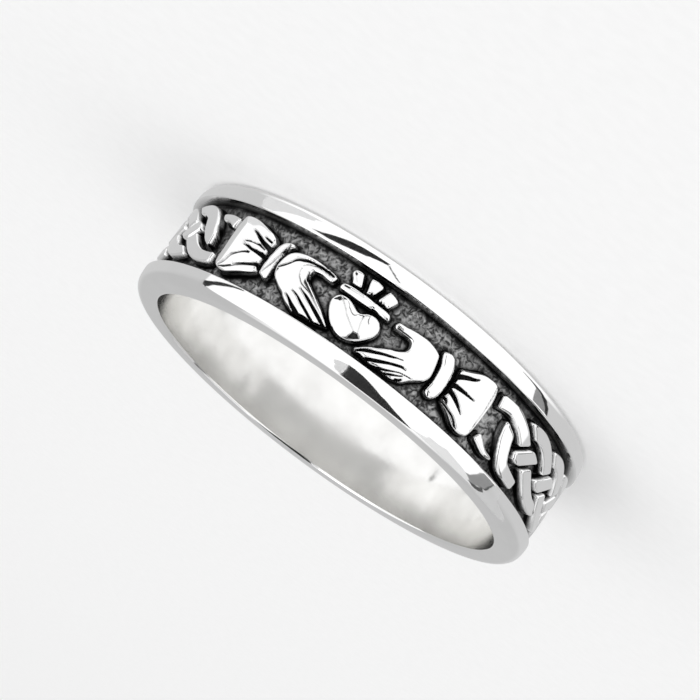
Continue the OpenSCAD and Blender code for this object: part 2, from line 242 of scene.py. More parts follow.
# Sterling silver, turned inside the bore and then buffed with a felt bob, which leaves it a soft mirror with
# cloudy patches about two millimetres wide.
BRIGHT_CLOUD = "#FFFFFE"
DULL_CLOUD = "#DEDDDB"
CLOUDS_PER_MM = 0.5
CLOUD_H = 0.012
BOB_REACH = 0.01
buffed_silver, tree, shader = new_material("buffed_sterling_silver")
place = add(tree, "ShaderNodeTexCoord").outputs["Object"]
noise_inputs = {"Vector": place, "Scale": CLOUDS_PER_MM / MM, "Detail": 3}
clouds = add(tree, "ShaderNodeTexNoise", noise_inputs).outputs["Fac"]
rough = add(tree, "ShaderNodeMapRange", {"Value": clouds, "From Min": 0.3, "From Max": 0.7,
                                         "To Min": 0.09, "To Max": 0.17}).outputs[0]
shade = add(tree, "ShaderNodeMix", {SHARE: clouds, FROM: linear(BRIGHT_CLOUD), TO: linear(DULL_CLOUD)},
            data_type="RGBA").outputs[MIXED]
bump = add(tree, "ShaderNodeBump", {"Height": clouds, "Distance": CLOUD_H * MM, "Strength": 0.5}).outputs[0]
tree.links.new(shade, shader.inputs["Base Color"])
tree.links.new(rough, shader.inputs["Roughness"])
tree.links.new(bump, shader.inputs["Normal"])
shader.inputs["Metallic"].default_value = 1

SMOOTH_ANGLE = 50


def finish_piece(piece):
    """Brings a piece from millimetres to metres, shades it smooth and fixes it to the ring."""
    only(piece)
    piece.data.transform(Matrix.Scale(MM, 4))
    bpy.ops.object.shade_smooth_by_angle(angle=math.radians(SMOOTH_ANGLE))
    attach(piece, "root")
    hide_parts("ring")


band.data.materials.append(polished_silver)
band.data.materials.append(buffed_silver)
middles = np.empty(len(band.data.polygons) * 3)
band.data.polygons.foreach_get("center", middles)
middles = middles.reshape(-1, 3)
in_bore = np.hypot(middles[:, 0], middles[:, 1]) < BORE_R + BOB_REACH
band.data.polygons.foreach_set("material_index", in_bore.astype(np.int32))
finish_piece(band)

# The heart is the middle of the relief, cast with the band and polished. It is a puffed form, with a
# notch between its lobes and two faint lines of painted shade that run down from them. A dark patch on its
# lower right flank is a painted reflection, sunk a little. The sizes here are those of all the relief, and
# heights are above the channel's floor.
HALF_CHANNEL = BAND_W / 2 - RAIL_W
RELIEF_H = 0.45
WALL_H = 0.32
SUNK = 0.1
SKIRT = 0.03
DRAFT = 0.04
FOOT = 0.05
SINK_RUN = 0.02
MARGIN = DRAFT + FOOT + SINK_RUN
GRID_MARGIN = 1.2 * MARGIN
CELL = 0.018
CURVE_STEPS = 8
EDGE_ROUND = 0.1
DOME = 0.04
DOME_REACH = 0.5
NO_FLARE = (0, 1, 0)
GROOVE_DEPTH = 0.3
GROOVE_SIDE = 0.045
CREASE_SIDE = 0.05
CREASE_SHADE = 0.3
DARK_PATCH_DEPTH = 0.02
DARK_PATCH_EDGE = 0.04
BLACK_UP_TO = 0.20
BRIGHT_FROM = 0.30
SHADE_AND_CRUST_UP_TO = 0.24
outlines = []


def curve_point(a, b, c, d, t):
    """A point on the smooth curve from b to c, which passes through a, b, c and d."""
    return (b + t * (c - a) / 2 + t * t * (2 * a - 5 * b + 4 * c - d) / 2
            + t * t * t * (3 * b - a - 3 * c + d) / 2)


def smooth_loop(table):
    """A smooth closed line through the places in a table."""
    p = np.array(table, float)
    n = len(p)
    return np.array([curve_point(p[i - 1], p[i], p[(i + 1) % n], p[(i + 2) % n], j / CURVE_STEPS)
                     for i in range(n) for j in range(CURVE_STEPS)])


def smooth_line(table):
    """A smooth open line through the places in a table."""
    p = np.array(table, float)
    n = len(p) - 1
    made = [curve_point(p[max(i - 1, 0)], p[i], p[i + 1], p[min(i + 2, n)], j / CURVE_STEPS)
            for i in range(n) for j in range(CURVE_STEPS)]
    return np.array(made + [p[-1]])


def outside_line(x, y, line):
    """How far each place is outside a line, whose third column is its half width."""
    best = np.full(x.shape, np.inf)
    for a, b in zip(line[:-1], line[1:]):
        d = b - a
        t = np.clip(((x - a[0]) * d[0] + (y - a[1]) * d[1]) / (d[0] ** 2 + d[1] ** 2), 0, 1)
        away = np.hypot(x - a[0] - t * d[0], y - a[1] - t * d[1]) - (a[2] + t * d[2])
        best = np.minimum(best, away)
    return best


def inside_outline(x, y, outline):
    """How far each place is inside a closed outline, negative outside it."""
    closed = np.vstack([outline, outline[:1]])
    away = outside_line(x, y, np.hstack([closed, np.zeros((len(closed), 1))]))
    inside = np.zeros(x.shape, bool)
    for a, b in zip(closed[:-1], closed[1:]):
        if a[1] != b[1]:
            crosses = ((a[1] > y) != (b[1] > y)) & (x < a[0] + (y - a[1]) * (b[0] - a[0]) / (b[1] - a[1]))
            inside ^= crosses
    return np.where(inside, away, -away)


def rounded(depth, reach):
    """A quarter round, from 0 at the edge to 1 at reach."""
    t = np.clip(depth / reach, 0, 1)
    return np.sqrt(1 - (1 - t) ** 2)


def cast_height(depth, reach, top=RELIEF_H):
    """Height above the channel's floor: a small foot, a steep wall, then a rounded edge up to the top."""
    wall = np.interp(depth, [-MARGIN, -DRAFT - FOOT, -DRAFT, 0], [-SUNK, 0, FOOT / 2, WALL_H])
    return np.where(depth < 0, wall, WALL_H + (top - WALL_H) * rounded(depth, reach))


def close_and_set(piece, points, height):
    """Raises a flat grid to the height, cuts away the cells that are sunk all the way, and closes it with a
    skirt and a bottom, both hidden in the band."""
    points[:, 2] = np.maximum(height, -SUNK)
    move_points(piece, points)
    corners_of = np.empty(len(piece.data.loops), np.int32)
    piece.data.loops.foreach_get("vertex_index", corners_of)
    gone = (points[corners_of, 2] <= -SUNK).reshape(-1, 4).all(1)
    only(piece)
    bpy.ops.object.mode_set(mode="EDIT")
    bpy.ops.mesh.select_mode(type="FACE")
    bpy.ops.object.mode_set(mode="OBJECT")
    piece.data.polygons.foreach_set("select", gone)
    bpy.ops.object.mode_set(mode="EDIT")
    bpy.ops.mesh.delete(type="FACE")
    bpy.ops.mesh.select_all(action="SELECT")
    bpy.ops.mesh.region_to_loop()
    bpy.ops.mesh.extrude_edges_move(TRANSFORM_OT_translate={"value": (0, 0, -SKIRT)})
    bpy.ops.mesh.select_all(action="SELECT")
    bpy.ops.mesh.fill_holes(sides=0)
    bpy.ops.mesh.select_all(action="SELECT")
    bpy.ops.mesh.normals_make_consistent(inside=False)
    bpy.ops.object.mode_set(mode="OBJECT")
    highest = max(piece.data.polygons, key=lambda face: face.center.z)
    if highest.normal.z < 0:
        piece.data.flip_normals()


def wrap(piece):
    """Bends a flat piece round the band: x is along the outer face, y towards the crown, z outwards."""
    points = points_of(piece)
    paint(piece, "blackening", 1 - ramp(points[:, 2], BLACK_UP_TO, BRIGHT_FROM))
    # The lower part of every wall and groove is painted darker still: painted shade where the relief meets
    # the floor
    paint(piece, "corner", 1 - ramp(points[:, 2], SHADE_AND_CRUST_UP_TO, WALL_H))
    turn = -math.pi / 2 - points[:, 0] / OUTER_R
    r = FLOOR_R + points[:, 2]
    move_points(piece, np.stack([r * np.cos(turn), r * np.sin(turn), BAND_W / 2 - points[:, 1]], 1))


def relief_piece(name, outline, shape):
    """A fine grid over the outline, raised to the height above the floor and painted with the shade and dark
    patches that shape gives.
    """
    low = outline.min(0) - GRID_MARGIN
    size = outline.max(0) + GRID_MARGIN - low
    counts = np.ceil(size / CELL).astype(int)
    bpy.ops.object.select_all(action="DESELECT")
    bpy.ops.mesh.primitive_grid_add(x_subdivisions=counts[0], y_subdivisions=counts[1], size=1)
    piece = bpy.context.object
    piece.name = name
    points = points_of(piece)
    points[:, :2] = low + (points[:, :2] + 0.5) * size
    height, dark = shape(points[:, 0], points[:, 1])
    paint(piece, "painted_shade_and_reflection", dark)
    close_and_set(piece, points, height)
    wrap(piece)
    piece.data.materials.append(polished_silver)
    finish_piece(piece)
    return piece


def figure(name, table, groove_tables=(), shade_line_tables=(), painted_dark_patches=(), reach=EDGE_ROUND, dome=DOME,
           dome_reach=DOME_REACH, flare=NO_FLARE):
    """A domed figure of the relief from its outline, with black grooves cut into it, faint creases drawn as
    lines of painted shade, and painted dark patches. A flare is where its top starts to rise along the band,
    where it ends, and how far it rises."""
    outline = smooth_loop(table)
    outlines.append(outline)

    def shape(x, y):
        depth = inside_outline(x, y, outline)
        inside = depth > 0
        run = np.clip((x - flare[0]) / (flare[1] - flare[0]), 0, 1)
        rise = dome * rounded(depth, dome_reach) + flare[2] * run * rounded(depth, reach)
        height = cast_height(depth, reach) + inside * rise
        dark = np.zeros(len(x))
        # Each crease is only a line of painted shade, a share of the way to black, not a cut in the metal
        for shade_line in shade_line_tables:
            line = 1 - ramp(outside_line(x, y, smooth_line(shade_line)), 0, CREASE_SIDE)
            dark = np.maximum(dark, inside * CREASE_SHADE * line)
        # Each dark patch is painted near black and sunk a little; the heart's one is a painted reflection
        for painted_shade_and_reflection in painted_dark_patches:
            stained = inside * ramp(inside_outline(x, y, np.array(painted_shade_and_reflection)), 0, DARK_PATCH_EDGE)
            height = height - DARK_PATCH_DEPTH * stained
            dark = np.maximum(dark, stained)
        floor = RELIEF_H - GROOVE_DEPTH
        for groove in groove_tables:
            side = rounded(outside_line(x, y, smooth_line(groove)), GROOVE_SIDE)
            height = np.minimum(height, floor + (height - floor) * side)
        return height, dark

    return relief_piece(name, outline, shape)


HEART_DOME = 0.1
HEART_DOME_REACH = 0.6
# Outlines and dark patches give each place along the band from the heart's middle, and across it towards the
# crown, in millimetres. Grooves and lines of painted shade give half their width too.
HEART = [
    (0.00, -0.02), (-0.21, 0.06), (-0.41, 0.15), (-0.70, 0.22), (-0.96, 0.20), (-1.14, 0.09),
    (-1.24, -0.12), (-1.22, -0.34), (-1.06, -0.65), (-0.80, -0.95), (-0.47, -1.18), (-0.17, -1.28),
    (0.12, -1.28), (0.38, -1.21), (0.63, -1.05), (0.89, -0.79), (1.08, -0.54), (1.15, -0.30),
    (1.11, -0.10), (0.96, 0.09), (0.77, 0.18), (0.54, 0.19), (0.33, 0.13), (0.16, 0.02)]
HEART_PIT = [[(-0.98, 0.13, 0.0), (-0.90, 0.13, 0.0)]]
HEART_PAINTED_REFLECTION = [[(0.26, -0.82), (0.50, -0.77), (0.69, -0.93), (0.46, -1.10), (0.18, -1.21)]]
HEART_SHADE_LINES = [
    [(-0.84, 0.05, 0.0), (-0.47, -0.26, 0.0), (-0.31, -0.42, 0.0), (0.10, -0.69, 0.0), (0.30, -0.80, 0.0)],
    [(0.30, -0.04, 0.0), (0.31, -0.29, 0.0), (0.38, -0.52, 0.0), (0.47, -0.78, 0.0)]]
figure("heart", HEART, HEART_PIT, HEART_SHADE_LINES, HEART_PAINTED_REFLECTION, dome=HEART_DOME, dome_reach=HEART_DOME_REACH)

# The crown stands on a round bar above the heart, with three prongs that widen upwards. They are small
# raised forms of the same casting, with polished tops and a few casting pits.
CROWN_DOME = 0.02
BAR_DOME_REACH = 0.17
CROWN_BAR = [
    (-1.27, 0.46), (-1.25, 0.59), (-1.16, 0.66), (-1.02, 0.70), (-0.64, 0.71), (-0.23, 0.71), (0.13, 0.69),
    (0.58, 0.66), (0.99, 0.64), (1.12, 0.58), (1.19, 0.44), (1.16, 0.35), (1.04, 0.33), (0.74, 0.35),
    (0.53, 0.40), (0.38, 0.40), (0.26, 0.35), (-0.23, 0.34), (-0.74, 0.36), (-1.14, 0.36), (-1.24, 0.38)]
BAR_PIT = [[(-1.10, 0.57, 0.01), (-0.90, 0.58, 0.01)]]
BAR_LINE = [[(-0.88, 0.54, 0.0), (-0.50, 0.56, 0.0), (-0.20, 0.56, 0.0)]]
LEFT_PRONG = [
    (-1.20, 1.21), (-1.17, 1.32), (-1.07, 1.39), (-0.90, 1.41), (-0.74, 1.38), (-0.68, 1.30),
    (-0.60, 1.12), (-0.53, 0.94), (-0.53, 0.85), (-0.61, 0.83), (-0.90, 0.82), (-0.97, 0.86),
    (-1.06, 1.00), (-1.16, 1.11)]
LEFT_PRONG_PIT = [[(-1.03, 1.23, 0.015), (-1.00, 1.21, 0.015)]]
LEFT_PRONG_LINE = [[(-1.00, 1.19, 0.0), (-0.90, 1.06, 0.0), (-0.79, 0.95, 0.0)]]
MIDDLE_PRONG = [
    (-0.38, 1.32), (-0.36, 1.41), (-0.25, 1.44), (-0.03, 1.45), (0.18, 1.41), (0.24, 1.32), (0.20, 1.19),
    (0.15, 1.06), (0.10, 0.93), (0.02, 0.85), (-0.12, 0.81), (-0.23, 0.80), (-0.25, 0.88), (-0.29, 1.01),
    (-0.34, 1.16)]
MIDDLE_PRONG_PIT = [[(-0.02, 0.88, 0.02), (-0.01, 0.80, 0.02)]]
RIGHT_PRONG = [
    (0.52, 1.35), (0.60, 1.38), (0.80, 1.36), (0.96, 1.29), (1.06, 1.21), (1.07, 1.13), (1.01, 1.01),
    (0.95, 0.89), (0.88, 0.79), (0.79, 0.76), (0.67, 0.79), (0.41, 0.79), (0.34, 0.83), (0.36, 0.93),
    (0.42, 1.09), (0.47, 1.25)]
RIGHT_PRONG_PITS = [
    [(0.48, 0.83, 0.01), (0.49, 0.76, 0.01)],
    [(0.62, 0.79, 0.01), (0.63, 0.75, 0.02)]]
figure("crown_bar", CROWN_BAR, BAR_PIT, BAR_LINE, dome=CROWN_DOME, dome_reach=BAR_DOME_REACH)
figure("crown_left_prong", LEFT_PRONG, LEFT_PRONG_PIT, LEFT_PRONG_LINE, dome=CROWN_DOME)
figure("crown_middle_prong", MIDDLE_PRONG, MIDDLE_PRONG_PIT, dome=CROWN_DOME)
figure("crown_right_prong", RIGHT_PRONG, RIGHT_PRONG_PITS, dome=CROWN_DOME)

# Two hands of the same cast silver hold the heart, each with a raised thumb along the crown's bar and four
# fingers below the heart. Grooves cut between the fingers stay black, and the backs are domed and polished.
# Two lines of painted shade run along the left hand's thumb and first finger.
LEFT_HAND = [
    (-1.54, 0.65), (-1.55, 0.54), (-1.63, 0.38), (-1.83, 0.37), (-2.16, 0.42), (-2.40, 0.41),
    (-2.55, 0.36), (-2.58, 0.14), (-2.53, -0.02), (-2.33, -0.16), (-1.99, -0.36), (-1.65, -0.56),
    (-1.32, -0.76), (-1.08, -0.94), (-0.87, -1.10), (-0.72, -1.24), (-0.82, -1.29), (-1.04, -1.34),
    (-1.35, -1.39), (-1.86, -1.39), (-2.32, -1.46), (-2.53, -1.38), (-2.80, -1.28), (-3.02, -1.15),
    (-3.18, -1.01), (-3.43, -0.89), (-3.69, -0.73), (-3.88, -0.58), (-3.99, -0.42), (-4.08, -0.16),
    (-4.07, 0.11), (-4.02, 0.34), (-3.94, 0.52), (-3.81, 0.65), (-3.62, 0.76), (-3.34, 0.83),
    (-3.03, 0.86), (-2.67, 0.86), (-2.31, 0.82), (-1.99, 0.78), (-1.70, 0.73)]
LEFT_HAND_GROOVES = [
    [(-3.95, -0.14, 0.02), (-3.79, 0.00, 0.025), (-3.63, 0.18, 0.02), (-3.49, 0.38, 0.03),
     (-3.33, 0.50, 0.035), (-3.13, 0.58, 0.05), (-2.88, 0.64, 0.035), (-2.57, 0.67, 0.03),
     (-2.22, 0.67, 0.035), (-1.95, 0.65, 0.04), (-1.70, 0.61, 0.02)],
    [(-2.57, -0.47, 0.0), (-2.46, -0.52, 0.0), (-2.12, -0.66, 0.03), (-1.79, -0.82, 0.04),
     (-1.45, -0.99, 0.05), (-1.11, -1.16, 0.05), (-0.79, -1.32, 0.02)],
    [(-2.79, -0.71, 0.0), (-2.49, -0.81, 0.01), (-2.12, -1.01, 0.03), (-1.79, -1.17, 0.03),
     (-1.45, -1.34, 0.03), (-1.26, -1.43, 0.02)],
    [(-2.97, -0.95, 0.0), (-2.75, -1.06, 0.02), (-2.49, -1.23, 0.05), (-2.22, -1.37, 0.07),
     (-2.07, -1.45, 0.07)],
    [(-2.66, 0.23, 0.01), (-2.60, 0.06, 0.02), (-2.49, -0.06, 0.03)]]
LEFT_HAND_SHADE_LINES = [
    [(-3.04, 0.34, 0.0), (-2.86, 0.46, 0.0), (-2.62, 0.53, 0.0), (-2.29, 0.56, 0.0), (-1.72, 0.51, 0.0)],
    [(-3.02, 0.21, 0.0), (-2.99, 0.04, 0.0), (-2.92, -0.09, 0.0), (-2.79, -0.22, 0.0), (-2.62, -0.34, 0.0),
     (-2.35, -0.43, 0.0), (-2.09, -0.50, 0.0), (-1.79, -0.66, 0.0), (-1.21, -0.96, 0.0)]]
RIGHT_HAND = [
    (1.48, 0.41), (1.50, 0.52), (1.57, 0.61), (1.72, 0.64), (1.94, 0.66), (2.21, 0.71), (2.48, 0.74),
    (2.87, 0.76), (3.16, 0.72), (3.40, 0.66), (3.58, 0.58), (3.68, 0.47), (3.75, 0.26), (3.81, 0.04),
    (3.86, -0.20), (3.87, -0.40), (3.82, -0.56), (3.73, -0.70), (3.56, -0.83), (3.41, -0.94),
    (3.26, -1.07), (3.13, -1.22), (2.95, -1.34), (2.74, -1.40), (2.54, -1.45), (2.21, -1.42),
    (1.91, -1.40), (1.60, -1.46), (1.30, -1.42), (1.02, -1.38), (0.79, -1.39), (0.68, -1.30),
    (0.85, -1.13), (1.02, -0.99), (1.19, -0.87), (1.40, -0.76), (1.62, -0.62), (1.88, -0.48),
    (2.11, -0.39), (2.31, -0.27), (2.44, -0.15), (2.48, 0.00), (2.44, 0.17), (2.33, 0.27), (2.11, 0.30),
    (1.80, 0.29), (1.56, 0.30)]
RIGHT_HAND_GROOVES = [
    [(2.55, -0.54, 0.0), (2.33, -0.61, 0.0), (2.10, -0.71, 0.02), (1.77, -0.83, 0.03), (1.43, -0.98, 0.04),
     (1.10, -1.13, 0.05), (0.80, -1.34, 0.02)],
    [(2.87, -0.79, 0.0), (2.68, -0.79, 0.02), (2.47, -0.86, 0.03), (2.20, -0.97, 0.03),
     (1.93, -1.10, 0.04), (1.67, -1.23, 0.05), (1.33, -1.39, 0.05)],
    [(3.28, -0.92, 0.0), (3.01, -0.96, 0.0), (2.74, -1.02, 0.0), (2.47, -1.15, 0.005), (2.20, -1.29, 0.02),
     (1.93, -1.39, 0.03)],
    [(2.91, -1.06, 0.0), (2.74, -1.17, 0.005), (2.47, -1.31, 0.02), (2.27, -1.42, 0.02)],
    [(2.95, -1.21, 0.02), (2.88, -1.29, 0.03), (2.76, -1.34, 0.02)],
    [(1.62, 0.43, 0.0), (1.85, 0.44, 0.0)]]
figure("left_hand", LEFT_HAND, LEFT_HAND_GROOVES, LEFT_HAND_SHADE_LINES)
figure("right_hand", RIGHT_HAND, RIGHT_HAND_GROOVES)

# A cuff is a thick roll round each wrist, nearly half round across, cast and polished like the hands. One
# fold is cut along the left cuff, and a small dark patch is painted on the right one and sunk a little.
CUFF_ROUND = 0.18
CUFF_DOME = 0.02
LEFT_CUFF = [
    (-4.10, 0.98), (-4.27, 0.96), (-4.41, 0.90), (-4.51, 0.80), (-4.59, 0.64), (-4.64, 0.41),
    (-4.68, 0.12), (-4.69, -0.31), (-4.66, -0.62), (-4.60, -0.76), (-4.45, -0.83), (-4.27, -0.86),
    (-4.18, -0.80), (-4.20, -0.56), (-4.23, -0.26), (-4.25, -0.01), (-4.23, 0.24), (-4.20, 0.47),
    (-4.13, 0.64), (-4.03, 0.77), (-3.92, 0.86), (-3.96, 0.94)]
LEFT_CUFF_FOLD = [
    [(-4.14, 0.81, 0.03), (-4.21, 0.55, 0.03), (-4.28, 0.34, 0.01), (-4.32, 0.16, 0.01),
     (-4.36, -0.12, 0.02), (-4.43, -0.39, 0.015), (-4.50, -0.61, 0.01)]]
RIGHT_CUFF = [
    (3.80, 0.86), (3.94, 0.92), (4.11, 0.92), (4.27, 0.85), (4.41, 0.68), (4.51, 0.48), (4.58, 0.26),
    (4.62, -0.04), (4.63, -0.42), (4.61, -0.70), (4.54, -0.90), (4.41, -1.03), (4.24, -1.07),
    (4.10, -1.02), (4.01, -0.91), (4.02, -0.74), (4.05, -0.43), (4.03, -0.16), (3.98, 0.16), (3.92, 0.34),
    (3.84, 0.48), (3.78, 0.60), (3.73, 0.71), (3.74, 0.81)]
RIGHT_CUFF_DARK_PATCH = [[(4.03, -0.66), (4.08, -0.80), (4.28, -0.89), (4.10, -0.93)]]
figure("left_cuff", LEFT_CUFF, LEFT_CUFF_FOLD, reach=CUFF_ROUND, dome=CUFF_DOME)
figure("right_cuff", RIGHT_CUFF, painted_dark_patches=RIGHT_CUFF_DARK_PATCH, reach=CUFF_ROUND, dome=CUFF_DOME)

# A sleeve flares from each cuff to a straight hem. Pleats cut into it run out from the cuff, black at
# the bottom, and the metal between them is polished and rises a little towards the hem. A fine line is cut
# along the right hem.
LEFT_FLARE = (-4.8, -7.2, 0.1)
RIGHT_FLARE = (4.8, 6.8, 0.04)
LEFT_SLEEVE = [
    (-4.80, 0.66), (-4.88, 0.80), (-5.04, 0.90), (-5.23, 0.99), (-5.53, 1.07), (-5.80, 1.15),
    (-6.10, 1.23), (-6.46, 1.28), (-6.80, 1.27), (-6.98, 1.19), (-7.04, 0.97), (-7.05, 0.51),
    (-7.03, 0.07), (-6.98, -0.40), (-6.94, -0.87), (-6.89, -1.10), (-6.79, -1.23), (-6.65, -1.31),
    (-6.46, -1.35), (-6.21, -1.34), (-6.01, -1.28), (-5.77, -1.19), (-5.46, -1.07), (-5.10, -0.95),
    (-4.82, -0.82), (-4.78, -0.70), (-4.88, -0.54), (-4.92, -0.26), (-4.90, 0.04), (-4.91, 0.29),
    (-4.84, 0.49)]
LEFT_PLEATS = [
    [(-6.09, 0.75, 0.01), (-5.88, 0.68, 0.03), (-5.67, 0.58, 0.045), (-5.37, 0.45, 0.06),
     (-5.08, 0.36, 0.075), (-4.78, 0.29, 0.09)],
    [(-5.38, 0.68, 0.01), (-5.14, 0.62, 0.02), (-4.94, 0.58, 0.015)],
    [(-6.24, 0.19, 0.0), (-6.06, 0.22, 0.015), (-5.83, 0.25, 0.0), (-5.41, 0.27, 0.015),
     (-5.23, 0.23, 0.005), (-5.02, 0.18, 0.0)],
    [(-6.15, 0.06, 0.01), (-5.88, 0.03, 0.025), (-5.67, -0.01, 0.035), (-5.37, -0.03, 0.05),
     (-5.08, -0.05, 0.07), (-4.78, -0.08, 0.08)],
    [(-5.60, -0.20, 0.01), (-5.77, -0.22, 0.03), (-5.94, -0.29, 0.03), (-6.12, -0.41, 0.03),
     (-6.30, -0.56, 0.035), (-6.37, -0.72, 0.035), (-6.43, -0.93, 0.03), (-6.52, -1.07, 0.02),
     (-6.63, -1.19, 0.01)],
    [(-5.91, -0.91, 0.02), (-5.73, -0.83, 0.045), (-5.49, -0.72, 0.05), (-5.23, -0.62, 0.055),
     (-5.02, -0.53, 0.07), (-4.78, -0.46, 0.08)]]
RIGHT_SLEEVE = [
    (4.76, 0.66), (4.81, 0.74), (4.95, 0.80), (5.18, 0.92), (5.36, 1.02), (5.55, 1.12), (5.78, 1.19),
    (6.08, 1.23), (6.30, 1.23), (6.46, 1.18), (6.57, 1.04), (6.65, 0.84), (6.71, 0.62), (6.74, 0.34),
    (6.74, -0.23), (6.73, -0.53), (6.70, -0.82), (6.67, -1.03), (6.63, -1.18), (6.55, -1.27),
    (6.42, -1.33), (6.26, -1.36), (6.08, -1.36), (5.90, -1.32), (5.72, -1.26), (5.55, -1.17),
    (5.33, -1.05), (5.09, -0.94), (4.92, -0.86), (4.80, -0.78), (4.81, -0.56), (4.84, -0.41),
    (4.87, -0.16), (4.85, 0.14), (4.83, 0.34), (4.77, 0.52)]
RIGHT_PLEATS = [
    [(5.60, 0.84, 0.01), (5.44, 0.72, 0.035), (5.20, 0.61, 0.06), (5.02, 0.52, 0.07), (4.78, 0.38, 0.09)],
    [(5.91, 0.06, 0.01), (5.64, 0.05, 0.025), (5.35, 0.05, 0.05), (5.05, 0.03, 0.07), (4.80, 0.00, 0.08)],
    [(5.79, -0.70, 0.01), (5.64, -0.61, 0.03), (5.50, -0.53, 0.05), (5.26, -0.41, 0.07),
     (5.02, -0.32, 0.08), (4.80, -0.25, 0.08)],
    [(5.99, -1.25, 0.01), (5.85, -1.19, 0.035), (5.70, -1.08, 0.03), (5.50, -0.98, 0.025),
     (5.26, -0.91, 0.02), (5.05, -0.85, 0.02), (4.80, -0.78, 0.02)],
    [(4.76, -0.63, 0.05), (4.94, -0.66, 0.05), (5.04, -0.75, 0.02)]]
RIGHT_HEM = [
    [(6.46, 1.07, 0.0), (6.51, 0.77, 0.0), (6.54, 0.47, 0.0), (6.57, 0.18, 0.0), (6.58, -0.41, 0.0),
     (6.59, -0.70, 0.0), (6.60, -0.94, 0.0)]]
figure("left_sleeve", LEFT_SLEEVE, LEFT_PLEATS, flare=LEFT_FLARE)
figure("right_sleeve", RIGHT_SLEEVE, RIGHT_PLEATS + RIGHT_HEM, flare=RIGHT_FLARE)

# The plait of four strands, of the same casting, fills the rest of the channel, from one sleeve round the
# back to the other. Falling strands pass over at the outer crossings and under at the middle one, and
# rising strands the other way round. Each visible piece is a strip that rounds down before what covers it.
RIGHT_CROSSING = 10.04
LEFT_CROSSING = 10.42
PITCHES = 17
STRAND_W = 0.66
TURN_NARROWING = 0.12
STRAND_GAP = 0.16
RISING_GAP = 0.22
END_GAP = 0.3
STRAND_INSET = 0.59
STRAND_SWING = HALF_CHANNEL - STRAND_INSET
PLAIT_LIFT = 0.05
RIGHT_START_L = 3.11
LEFT_START_L = 3.17
STRAND_ROUND = 0.11
END_CORNER = 0.14
ALONG_CELL = 0.035
ACROSS_CELLS = 32
PITCH = (2 * math.pi * OUTER_R - RIGHT_CROSSING - LEFT_CROSSING) / PITCHES
# The ends of the plait, each drawn as if it were the right one: x from the first crossing, as a share of the
# pitch for a loop and of the distance to the sleeve for the others, y as a share of the swing, and width as a
# share of a strand's
RIGHT_OVER = [
    (-1.00, 0.75, 1.0), (-0.86, 0.83, 0.9), (-0.73, 0.87, 0.85), (-0.63, 0.85, 0.9), (-0.53, 0.76, 0.95),
    (-0.43, 0.66, 0.95), (-0.30, 0.48, 1.0), (-0.20, 0.30, 1.0), (0.00, 0.00, 1.0)]
RIGHT_LOOP = [
    (-0.69, 0.60, 1.0), (-0.72, 0.29, 1.1), (-0.68, -0.07, 1.1), (-0.60, -0.40, 1.05), (-0.51, -0.70, 1.0),
    (-0.40, -0.94, 0.95), (-0.26, -1.04, 0.9), (-0.06, -1.10, 0.8), (0.18, -1.16, 0.7)]
RIGHT_UNDER = [
    (-1.00, 0.80, 0.7), (-0.88, 0.93, 0.6), (-0.79, 1.05, 0.5), (-0.69, 1.13, 0.4), (-0.55, 1.10, 0.3),
    (-0.42, 0.90, 0.4), (-0.21, 0.50, 0.6), (0.00, 0.00, 1.0)]
LEFT_OVER = [
    (-1.00, 0.93, 0.75), (-0.95, 0.95, 0.75), (-0.87, 1.00, 0.8), (-0.76, 1.03, 0.85), (-0.61, 1.00, 0.9),
    (-0.42, 0.80, 0.95), (-0.21, 0.43, 1.0), (0.00, 0.00, 1.0)]
LEFT_LOOP = [
    (-0.91, 0.49, 0.3), (-0.80, 0.21, 0.8), (-0.69, -0.05, 1.0), (-0.58, -0.33, 1.15), (-0.48, -0.58, 1.1),
    (-0.36, -0.82, 1.0), (-0.18, -0.96, 0.9), (0.00, -1.00, 0.8), (0.25, -0.93, 0.8), (0.50, -0.71, 0.9)]
LEFT_UNDER = [
    (-1.00, 0.66, 0.8), (-0.95, 0.69, 0.8), (-0.87, 0.77, 0.7), (-0.76, 0.82, 0.6), (-0.66, 0.80, 0.55),
    (-0.55, 0.74, 0.5), (-0.42, 0.60, 0.6), (-0.21, 0.39, 1.0), (0.00, 0.00, 1.0)]


def strand_line(start, end, rise, shift=0):
    """A strand near a middle crossing at shift: place along and across the band, and half its width."""
    x = np.linspace(start, end, int((end - start) / ALONG_CELL) + 2)
    y = rise * np.sin(np.pi / 2 * x / PITCH)
    return np.stack([x + shift, y * STRAND_SWING, STRAND_W / 2 * (1 - TURN_NARROWING * y * y)], 1)


def end_line(table, length, rise=1):
    """A strand of an end from its table, with its places evenly spaced."""
    line = smooth_line(table) * [length, rise * STRAND_SWING, STRAND_W / 2]
    steps = np.linalg.norm(np.diff(line[:, :2], axis=0), axis=1)
    run = np.concatenate([[0], np.cumsum(steps)])
    places = np.linspace(0, run[-1], int(run[-1] / ALONG_CELL) + 2)
    return np.stack([np.interp(places, run, line[:, i]) for i in range(3)], 1)


def meet(a, b):
    """How far a place is inside two edges at once, with the corner where they meet rounded."""
    corner = END_CORNER - np.hypot(np.maximum(END_CORNER - a, 0), np.maximum(END_CORNER - b, 0))
    nearest = np.minimum(a, b)
    return np.where(nearest < END_CORNER, corner, nearest)


